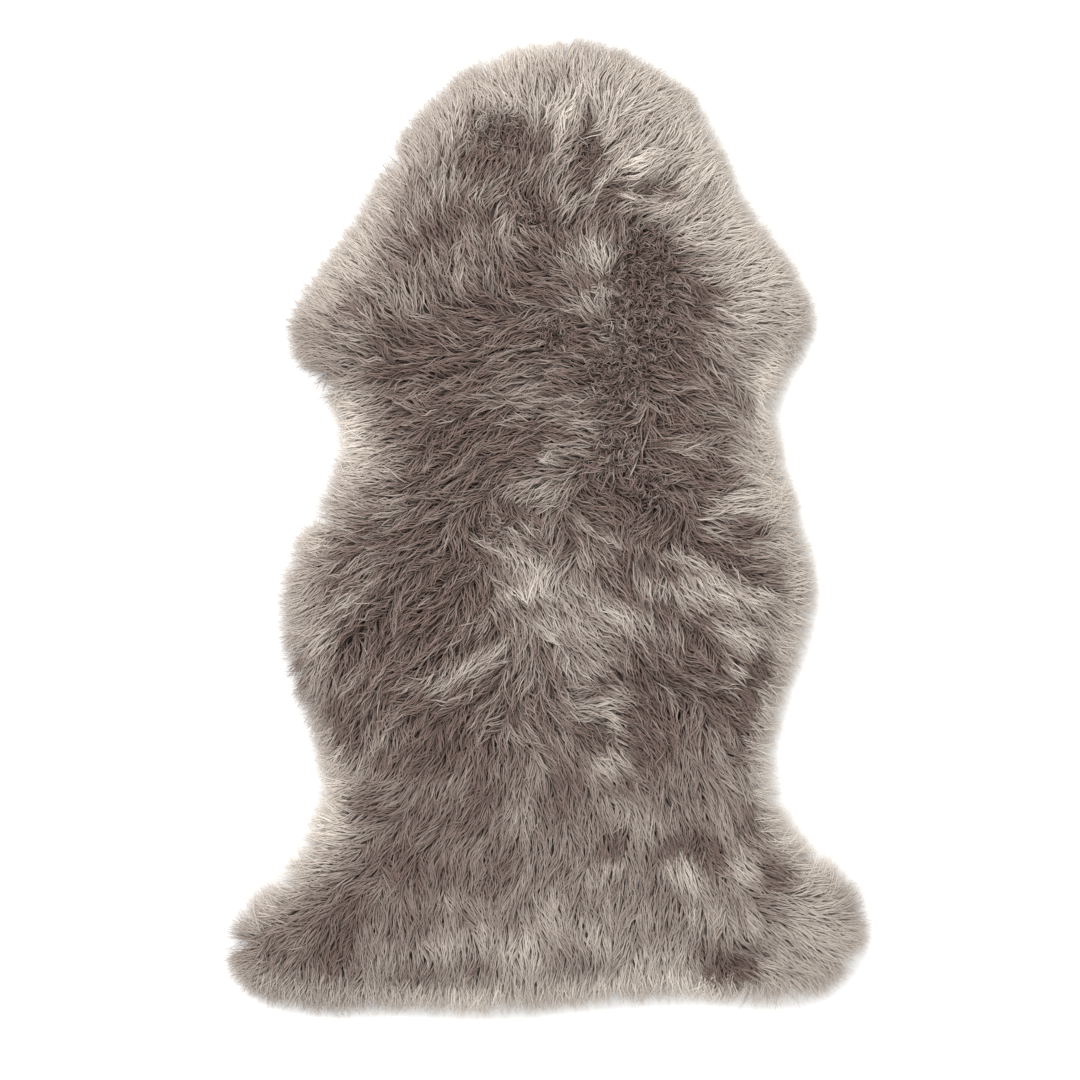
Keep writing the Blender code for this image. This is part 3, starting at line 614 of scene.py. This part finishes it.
class Tufts:
    """What strands at these places share with their neighbours in the same locks and wisps."""

    def __init__(self, wool, points, partings):
        combed, calm = np.sqrt(wool.tone(points)), wool.calm(points)
        straight = 1 - COMBED * combed
        lively = self.lively = np.minimum(1 - SETTLED * combed, 1 - CALM * calm)
        self.calm = calm
        self.turn = self.rise = self.tone = self.bend = np.zeros(len(points))
        for parting in partings:
            kind = parting.kind
            lock, left, edge = parting.own(points)
            self.turn = self.turn + parting.turn[lock] * straight
            self.bend = self.bend - left * math.radians(kind.gather_deg)
            groove = smooth((edge - GROOVE_FROM) / (1 - GROOVE_FROM))
            self.rise = self.rise + (parting.rise[lock] - groove * kind.groove_mm * MM) * lively
            # painted shade: strands in a lock's groove are drawn darker, besides lying lower
            self.tone = self.tone + (parting.tone[lock] - groove * kind.groove_tone) * lively
            if parting is partings[0]:
                self.ahead = parting.ahead[lock]
            self.phase = parting.phase[lock]


def line_sides(lines):
    """The level way across each line at each of its points."""
    ahead = unit(np.gradient(lines[..., :2], axis=1))
    return np.stack([-ahead[..., 1], ahead[..., 0]], axis=-1)


def walked(wool, roots, length, steps, ahead, turn, bend):
    """Lines from the roots on, each keeping partly to its own heading and partly to the lay it crosses."""
    spots = [roots]
    for step in range(steps):
        lay = unit(ahead * OWN_LAY + wool.lay(spots[-1]) * (1 - OWN_LAY))
        heading = turned(lay, turn + bend * step / steps)
        spots.append(spots[-1] + heading * (length / steps)[:, None])
    return np.stack(spots, axis=1)


def ended_at(wool, lines, least):
    """The lines, drawn in so that their tips lie at least this far inside the outline."""
    start, end = wool.inwards(lines[:, 0]), wool.inwards(lines[:, -1])
    share = np.where(end < least, (start - least) / np.maximum(start - end, MM), 1)
    return lines[:, :1] + (lines - lines[:, :1]) * share[:, None, None]


def crimped(lines, length, curl, tufts, rng):
    """The lines with the wool's waves in them, and how far each point of them is lifted by its wave."""
    along = np.linspace(0, 1, lines.shape[1])
    width = between(CRIMP_WIDTH, curl) * rng.uniform(*CRIMP_SHARES, len(lines))
    width = width * (1 - CALM_CRIMP * tufts.calm)
    swing = 2 * math.pi * along * (length / between(CRIMP_LENGTH, curl))[:, None] + tufts.phase[:, None]
    ramp = width[:, None] * smooth(along / CRIMP_FULL_AT)
    return lines + (ramp * np.sin(swing))[..., None] * line_sides(lines), ramp * np.cos(swing) * CRIMP_LIFT


def strand_lines(wool, kind, partings, is_wanted, rng):
    """A line for each strand of one kind, root first, its tone, and how much its tint changes along it.
    Each passes its own spot on a lattice, so no place is left bare."""
    pitch = kind.pitch_mm * MM
    middles = lattice(wool.outline.min(0), wool.outline.max(0), pitch)
    middles = middles + rng.uniform(-1, 1, middles.shape) * PLACE_JITTER * pitch
    middles = middles[(wool.inwards(middles) > LONG_FROM_RIM) & is_wanted(wool.curl(middles))]
    tufts = Tufts(wool, middles, partings)
    count = len(middles)
    length = kind.length_mm * MM * rng.uniform(*LENGTH_SHARES, count)
    turn = tufts.turn + TURN_WAVE * noise_at(middles, TURN_SCALE) + rng.normal(0, STRAND_TURN, count)
    bend = tufts.bend + BEND_WAVE * noise_at(middles, TURN_SCALE, 3) + rng.normal(0, BEND_SPREAD, count)
    heading = turned(unit(tufts.ahead * OWN_LAY + wool.lay(middles) * (1 - OWN_LAY)), turn)
    roots = middles - heading * (length * kind.before)[:, None]
    steps = len(kind.width_along) - 1
    flat = ended_at(wool, walked(wool, roots, length, steps, tufts.ahead, turn, bend), LONG_REACH)
    flat, lift = crimped(flat, length, wool.curl(middles), tufts, rng)
    offset = (rng.uniform(kind.low_mm, kind.high_mm, count) * MM * tufts.lively + tufts.rise)[:, None]
    depth = np.interp(np.linspace(0, 1, steps + 1), RISE_AT, RISE)
    z = wool.height(flat) + offset - (ROOT_DEPTH + offset) * depth + lift
    lines = np.concatenate([flat, np.maximum(z, LONG_LOWEST)[..., None]], axis=2)
    tone = tufts.tone + rng.normal(0, STRAND_TONE, count) * tufts.lively
    rooted = wool.inwards(roots) > WOOL_PAST_SKIN - SKIN_TO_ROOT
    change = 1 - CALM * tufts.calm
    return lines[rooted], seen_tone(wool, kind, lines, tone)[rooted], change[rooted]


def rim_lines(wool, locks, rng):
    """The same for the strands that reach over the skin's edge, as many to a stretch of the outline all
    the way round. Their tint changes in full, so that the rim stays dark near their roots, partly as
    painted shade under the wool."""
    after = np.roll(wool.outline, -1, axis=0)
    along = np.concatenate([[0], np.cumsum(np.linalg.norm(after - wool.outline, axis=1))])
    at = rng.uniform(0, along[-1], RIM_STRANDS)
    closed = np.concatenate([wool.skin, wool.skin[:1]])
    edge = np.stack([np.interp(at, along, closed[:, axis]) for axis in (0, 1)], axis=1)
    start = rng.uniform(*RIM_ROOTS, RIM_STRANDS)
    roots = edge - wool.outwards(edge) * (start - WOOL_PAST_SKIN)[:, None]
    tufts = Tufts(wool, edge, locks)
    turn = tufts.turn + TURN_WAVE * noise_at(edge, TURN_SCALE) + rng.normal(0, STRAND_TURN, RIM_STRANDS)
    bend = tufts.bend + rng.normal(0, BEND_SPREAD, RIM_STRANDS)
    ahead = unit(wool.outwards(edge) + RIM_LEAN * wool.lay(edge))
    steps = len(RIM.width_along) - 1
    share = np.arange(steps + 1) / steps
    heading = turned(ahead[:, None], turn[:, None] + bend[:, None] * share)
    flat = roots[:, None] + heading * (start[:, None] * share)[..., None]
    end = rng.uniform(*RIM_TIPS, RIM_STRANDS)
    way = wool.inwards(flat[:, 0]) - wool.inwards(flat[:, -1])
    stretch = np.clip((start - end) / np.maximum(way, RIM_LEAST_WAY), *RIM_STRETCH)
    flat = flat[:, :1] + (flat - flat[:, :1]) * stretch[:, None, None]
    flat = ended_at(wool, flat, end)
    flat, _ = crimped(flat, start, np.zeros(RIM_STRANDS), tufts, rng)
    level = rng.uniform(*RIM_SHARES, RIM_STRANDS)[:, None] * RIM_RISE
    z = np.maximum(wool.height(flat) * level, LOWEST)
    lines = np.concatenate([flat, z[..., None]], axis=2)
    # all the wool at the rim is calm
    tone = tufts.tone + rng.normal(0, STRAND_TONE, RIM_STRANDS) * (1 - CALM)
    return lines, seen_tone(wool, RIM, lines, tone), np.ones(RIM_STRANDS)


def seen_tone(wool, kind, lines, uneven):
    seen = (lines[:, -2, :2] + lines[:, -1, :2]) / 2
    return np.clip(wool.tone(seen) + uneven - kind.darker, 0, 1)


def streaks(wool, points):
    """Noise drawn out along the lay, between about -1 and 1."""
    lay = wool.lay(points)
    shifts = np.linspace(-STREAK_REACH, STREAK_REACH, STREAK_SPOTS)
    total = sum(noise_at(points + lay * shift, STREAK_SCALE, 2) for shift in shifts)
    return total / STREAK_SPOTS * STREAK_GAIN


def map_across(tone):
    return MAP_EDGE + (1 - 2 * MAP_EDGE - STRIP_WIDTH) * tone


def map_along(along):
    return MAP_EDGE + (1 - 2 * MAP_EDGE) * along


def mesh_of(name, points, faces, corners):
    """A mesh from arrays: its points, its faces as rows of point numbers, and each face corner's place
    on the map. Faces may come in several arrays, each of its own number of corners."""
    mesh = bpy.data.meshes.new(name)
    mesh.vertices.add(len(points))
    mesh.vertices.foreach_set("co", points.astype(np.float32).ravel())
    sizes = np.concatenate([np.full(len(rows), rows.shape[1]) for rows in faces])
    loops = np.concatenate([rows.ravel() for rows in faces]).astype(np.int32)
    mesh.loops.add(len(loops))
    mesh.loops.foreach_set("vertex_index", loops)
    mesh.polygons.add(len(sizes))
    starts = np.concatenate([[0], np.cumsum(sizes)[:-1]]).astype(np.int32)
    mesh.polygons.foreach_set("loop_start", starts)
    bake_map = mesh.uv_layers.new(name="OFBake")
    bake_map.data.foreach_set("uv", np.concatenate([rows.ravel() for rows in corners]).astype(np.float32))
    mesh.update(calc_edges=True)
    mesh.validate()
    mesh.shade_flat()
    made = bpy.data.objects.new(name, mesh)
    bpy.context.scene.collection.objects.link(made)
    return made


def strand_arrays(kind, lines, tones, change, rng):
    """Closed three-sided strands, each ending in a point: their points, faces and map. Where change is
    under 1, a strand's tint changes less from root to tip."""
    widths = kind.width_mm * MM * rng.uniform(*WIDTH_SHARES, len(lines))[:, None] * kind.width_along
    rolls = rng.uniform(-STRAND_ROLL, STRAND_ROLL, len(lines))
    count, rings = lines.shape[:2]
    ahead = unit(np.gradient(lines, axis=1))
    side = unit(np.cross(ahead, (0, 0, 1)))
    up = np.cross(side, ahead)
    angles = rolls[:, None, None] + np.radians((90, 210, 330))
    across = np.cos(angles)[..., None] * side[:, :, None]
    over = np.sin(angles)[..., None] * up[:, :, None] * kind.thickness
    corners = lines[:, :, None] + (across + over) * widths[:, :, None, None] / 2
    points = np.concatenate([corners[:, :-1].reshape(count, -1, 3), lines[:, -1:]], axis=1)
    first = (np.arange(count) * points.shape[1])[:, None, None]
    ring, corner = np.arange(rings - 2)[:, None] * 3, np.arange(3)[None]
    after = (corner + 1) % 3
    quads = np.stack([ring + corner, ring + 3 + corner, ring + 3 + after, ring + after], axis=-1)
    last = (rings - 2) * 3
    ends = np.stack([last + corner[0], np.full(3, last + 3), last + after[0]], axis=-1)
    root = np.array([[0, 1, 2]])
    faces = [(first + rows.reshape(1, -1, rows.shape[-1])).reshape(-1, rows.shape[-1])
             for rows in (quads, ends, root)]
    left = map_across(tones)[:, None, None] + STRIP_WIDTH * np.arange(3) / 3
    right = left + STRIP_WIDTH / 3
    share = EVEN_AT + (np.arange(rings) / (rings - 1) - EVEN_AT) * change[:, None]
    heights = map_along(kind.lightest * share)
    low, high = heights[:, :-2, None], heights[:, 1:-1, None]
    full = np.broadcast_arrays(left, right, low, high)
    quad_map = np.stack([full[0], full[2], full[0], full[3], full[1], full[3], full[1], full[2]], axis=-1)
    left, right = left[:, 0], right[:, 0]
    neck, tip = (np.broadcast_to(heights[:, [ring]], left.shape) for ring in (-2, -1))
    end_map = np.stack([left, neck, (left + right) / 2, tip, right, neck], axis=-1)
    foot = heights[:, 0]
    root_map = np.stack([left[:, 0], foot, right[:, 2], foot, left[:, 1], foot + STRIP_WIDTH], axis=-1)
    return points.reshape(-1, 3), faces, [quad_map, end_map, root_map]


def joined_strands(name, kinds):
    points, faces, places = [], [], []
    for kind_points, kind_faces, kind_places in kinds:
        first = sum(len(part) for part in points)
        points.append(kind_points)
        faces += [rows + first for rows in kind_faces]
        places += kind_places
    return mesh_of(name, np.concatenate(points), faces, places)


def grow_wool(wool, rng):
    """The wool on the skin, in one piece for each region of the rug, and the wool over its rim."""
    locks, wisps, curls = (Partings(wool, kind, rng) for kind in (LOCKS, WISPS, CURLED))
    grown = []
    for kind, partings, is_wanted in ((DOWN, (locks,), lambda curl: curl < math.inf),
                                      (LONG, (locks, wisps), lambda curl: curl <= CURLS_FROM),
                                      (CURLY, (locks, curls), lambda curl: curl > CURLS_FROM)):
        grown.append((kind, *strand_lines(wool, kind, partings, is_wanted, rng)))
    pieces = []
    above = math.inf
    for name, lowest in REGIONS:
        parts = []
        for kind, lines, tones, change in grown:
            y = lines[:, 1, 1]  # of each strand's second point
            here = (y < above) & (y >= lowest)
            if here.any():
                parts.append(strand_arrays(kind, lines[here], tones[here], change[here], rng))
        pieces.append(joined_strands(name, parts))
        above = lowest
    rim = strand_arrays(RIM, *rim_lines(wool, (locks, wisps), rng), rng)
    return pieces + [joined_strands("wool_rim", [rim])]


def short_wool(wool):
    """One closed body under the long wool, from near its surface down to the skin and the floor."""
    rim = moved_out(wool.outline, -UNDER_FROM_RIM)
    for _ in range(UNDER_RIM_BLURS):
        rim = rim / 2 + (np.roll(rim, 1, axis=0) + np.roll(rim, -1, axis=0)) / 4
    spots = lattice(rim.min(0), rim.max(0), UNDER_PITCH)
    inwards = inwards_of(rim, spots)[0]
    spots = spots[inwards > UNDER_PITCH / 2]
    points = np.concatenate([rim, spots])
    count = len(rim)
    edges = [(i, (i + 1) % count) for i in range(count)]
    inside_only, nearest = 1, 1e-6
    upper = np.array(delaunay_2d_cdt([Vector(p) for p in points], edges, [], inside_only, nearest)[2])
    ridges = streaks(wool, points)
    z = np.maximum(wool.height(points) - UNDER_DEPTH + ridges * UNDER_RIDGES, UNDER_LOWEST)
    skin_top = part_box("hide")[1].z
    rings = ((rim, LOWEST), (moved_out(wool.skin, UNDER_FOOT), LOWEST),
             (moved_out(wool.skin, UNDER_TOP), skin_top + PIECE_GAP))
    body = [np.column_stack([points, z])] + [np.column_stack([ring, np.full(count, level)])
                                             for ring, level in rings]
    firsts = [0, len(points), len(points) + count, len(points) + 2 * count]
    i = np.arange(count)
    after = (i + 1) % count
    walls = np.concatenate([
        np.stack([first + i, second + i, second + after, first + after], axis=1)
        for first, second in zip(firsts, firsts[1:])
    ])
    # the way round makes each wall face outwards, and the ceiling over the skin face down
    ceiling = (firsts[3] + i[::-1])[None]
    body = np.concatenate(body)
    tone = map_across(np.clip(wool.tone(body[:, :2]), 0, 1))
    # near the roots' tint: partly the wool's own colour, partly painted shade of the deep pile
    along = map_along(UNDER_ALONG + UNDER_STREAKS * streaks(wool, body[:, :2]))
    spots_on_map = np.stack([tone, np.clip(along, MAP_EDGE, UNDER_LIGHTEST)], axis=1)
    faces = [upper, walls, ceiling]
    return mesh_of("wool_under", body, faces, [spots_on_map[rows] for rows in faces])


def linear(red, green, blue):
    """A colour as it is seen, 0 to 255, in the light-linear values that shaders take."""
    return tuple(((value / 255 + 0.055) / 1.055) ** 2.4 for value in (red, green, blue)) + (1,)


# the roots' colours are partly the wool's own and partly painted shade of the deep pile; the tips are its
# own paler colour
DARK_ROOT_SHADED = linear(42, 29, 25)
DARK_TIP = linear(133, 112, 104)
LIGHT_ROOT_SHADED = linear(203, 192, 180)
LIGHT_TIP = linear(229, 221, 212)
GRAIN_ACROSS = 700  # how often the wool's grain changes across its map, so from strand to strand
GRAIN_ALONG = 3     # and along it
GRAIN_TONE = 0.3    # how far the grain changes the tone
GRAIN_TINT = 0.6    # and the tint from root to tip

SUEDE_DARK = linear(168, 146, 120)
SUEDE_LIGHT = linear(214, 196, 170)
SUEDE_DARKER = 0.1
CLOUD_SCALE = 9
CLOUD_TONE = 0.7  # how far the clouds change the suede's tone
CLOUD_RISE = 0.3  # and how high they stand, as a share of the nap
NAP_SCALE = 700
NAP_TONE = 0.5
NAP_HEIGHT = 0.4 * MM
NAP_STRENGTH = 0.35

FLOOR_SIZE = 6
FLOOR_WHITE = (0.9, 0.9, 0.9, 1)

# The camera hangs straight over the rug and sees a square of the floor.
CAMERA_HEIGHT = 3.6
SEEN_ACROSS = 1.08
SENSOR = 36
VIEW_MIDDLE = (-0.0067, -0.0137)

# Even light from all round, and one soft lamp above the rug's upper left.
STUDIO_WHITE = (1, 0.99, 0.975, 1)
STUDIO_STRENGTH = 1.15
LAMP_PLACE = (-1.3, 1.6, 2.2)
LAMP_ACROSS = 1.2
LAMP_WATTS = 60


class Amount:
    """A number in a shader. Arithmetic on it adds the Math nodes."""

    def __init__(self, finish, socket):
        self.finish = finish
        self.socket = socket

    def maths(self, operation, *values):
        return self.finish.amount("ShaderNodeMath", "Value", {"operation": operation}, *values)

    def __add__(self, other):
        return self.maths("ADD", self, other)

    def __sub__(self, other):
        return self.maths("SUBTRACT", self, other)

    def __mul__(self, other):
        return self.maths("MULTIPLY", self, other)

    def limited(self):
        return self.maths("MINIMUM", self.maths("MAXIMUM", self, 0), 1)


class Finish:
    """A material, and the ways to add nodes to it."""

    def __init__(self, name, **constants):
        self.material = bpy.data.materials.new(name)
        self.material.use_nodes = True
        self.tree = self.material.node_tree
        self.shader = self.tree.nodes["Principled BSDF"]
        for socket, value in constants.items():
            self.shader.inputs[socket.replace("_", " ")].default_value = value

    def node(self, kind, settings, *values, **named):
        made = self.tree.nodes.new(kind)
        for setting, value in settings.items():
            setattr(made, setting, value)
        given = list(enumerate(values)) + [(name.replace("_", " "), value) for name, value in named.items()]
        for key, value in given:
            self.connect(value, made.inputs[key])
        return made

    def connect(self, value, socket):
        if isinstance(value, Amount):
            value = value.socket
        if isinstance(value, bpy.types.NodeSocket):
            self.tree.links.new(value, socket)
        else:
            socket.default_value = value

    def amount(self, kind, output, settings, *values, **named):
        return Amount(self, self.node(kind, settings, *values, **named).outputs[output])

    def mixed(self, share, first, second):
        made = self.node("ShaderNodeMix", {"data_type": "RGBA"})
        colours = [socket for socket in made.inputs if socket.type == "RGBA"]
        self.connect(share, made.inputs["Factor"])
        self.connect(first, colours[0])
        self.connect(second, colours[1])
        return next(socket for socket in made.outputs if socket.type == "RGBA")

    def noise(self, vector, scale, detail, roughness=0.5):
        return self.amount("ShaderNodeTexNoise", "Fac", {}, Vector=vector, Scale=scale, Detail=detail,
                           Roughness=roughness)

    def set(self, name, value):
        self.connect(value, self.shader.inputs[name])


def wool_finish():
    """Wool, from dark to light across its map and from root to tip along it, the darker roots partly the
    wool's own colour and partly painted shade of the deep pile, with a grain that differs from strand to
    strand."""
    finish = Finish("wool", Roughness=0.7, Specular_IOR_Level=0.2, Sheen_Weight=0.05, Sheen_Roughness=0.5)
    place = finish.node("ShaderNodeUVMap", {"uv_map": "OFBake"}).outputs["UV"]
    parts = finish.node("ShaderNodeSeparateXYZ", {}, place)
    tone, along = (Amount(finish, parts.outputs[axis]) for axis in ("X", "Y"))
    spot = finish.node("ShaderNodeCombineXYZ", {}, tone * GRAIN_ACROSS, along * GRAIN_ALONG, 0).outputs[0]
    grain = finish.noise(spot, 1, detail=3) - 0.5
    tone = (tone + grain * GRAIN_TONE).limited()
    tint = (along + grain * GRAIN_TINT).limited()
    dark = finish.mixed(tint, DARK_ROOT_SHADED, DARK_TIP)
    light = finish.mixed(tint, LIGHT_ROOT_SHADED, LIGHT_TIP)
    finish.set("Base Color", finish.mixed(tone, dark, light))
    return finish.material


def suede_finish():
    """The skin's flesh side: matt, with a fine nap and soft clouds of lighter and darker brown."""
    finish = Finish("suede", Roughness=0.92, Sheen_Weight=0.2)
    place = finish.node("ShaderNodeTexCoord", {}).outputs["Object"]
    clouds = finish.noise(place, CLOUD_SCALE, detail=4, roughness=0.6)
    nap = finish.noise(place, NAP_SCALE, detail=3, roughness=0.7)
    share = (clouds * CLOUD_TONE + nap * NAP_TONE - SUEDE_DARKER).limited()
    finish.set("Base Color", finish.mixed(share, SUEDE_DARK, SUEDE_LIGHT))
    relief = nap + clouds * CLOUD_RISE
    bump = finish.node("ShaderNodeBump", {}, Strength=NAP_STRENGTH, Distance=NAP_HEIGHT, Height=relief)
    finish.set("Normal", bump.outputs["Normal"])
    return finish.material


def lay_floor():
    bpy.ops.mesh.primitive_plane_add(size=FLOOR_SIZE)
    floor = bpy.context.object
    floor.name = "floor"
    finish = Finish("floor", Roughness=0.9)
    finish.set("Base Color", FLOOR_WHITE)
    floor.data.materials.append(finish.material)


def set_camera():
    bpy.ops.object.camera_add(location=(*VIEW_MIDDLE, CAMERA_HEIGHT), rotation=(0, 0, 0))
    camera = bpy.context.object
    camera.data.sensor_width = SENSOR
    camera.data.lens = SENSOR * CAMERA_HEIGHT / SEEN_ACROSS
    bpy.context.scene.camera = camera


def set_light():
    world = bpy.data.worlds.new("studio")
    world.use_nodes = True
    background = world.node_tree.nodes["Background"]
    background.inputs["Color"].default_value = STUDIO_WHITE
    background.inputs["Strength"].default_value = STUDIO_STRENGTH
    bpy.context.scene.world = world
    bpy.context.scene.view_settings.view_transform = "Standard"
    bpy.ops.object.light_add(type="AREA", location=LAMP_PLACE)
    lamp = bpy.context.object
    lamp.data.shape = "DISK"
    lamp.data.size = LAMP_ACROSS
    lamp.data.energy = LAMP_WATTS
    to_rug = -lamp.location
    lamp.rotation_euler = to_rug.to_track_quat("-Z", "Y").to_euler()


def main():
    bpy.ops.object.select_all(action="DESELECT")
    rng = np.random.default_rng(SEED)
    hide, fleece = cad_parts["hide"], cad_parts["fleece"]
    wool = Wool(hide, fleece)
    pieces = [short_wool(wool), *grow_wool(wool, rng)]
    finish = wool_finish()
    for piece in pieces:
        piece.data.materials.append(finish)
        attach(piece, "root")
        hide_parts("fleece")
    hide.data.materials.clear()
    hide.data.materials.append(suede_finish())
    ring_area(wool.skin)
    lay_floor()
    set_light()
    set_camera()


main()
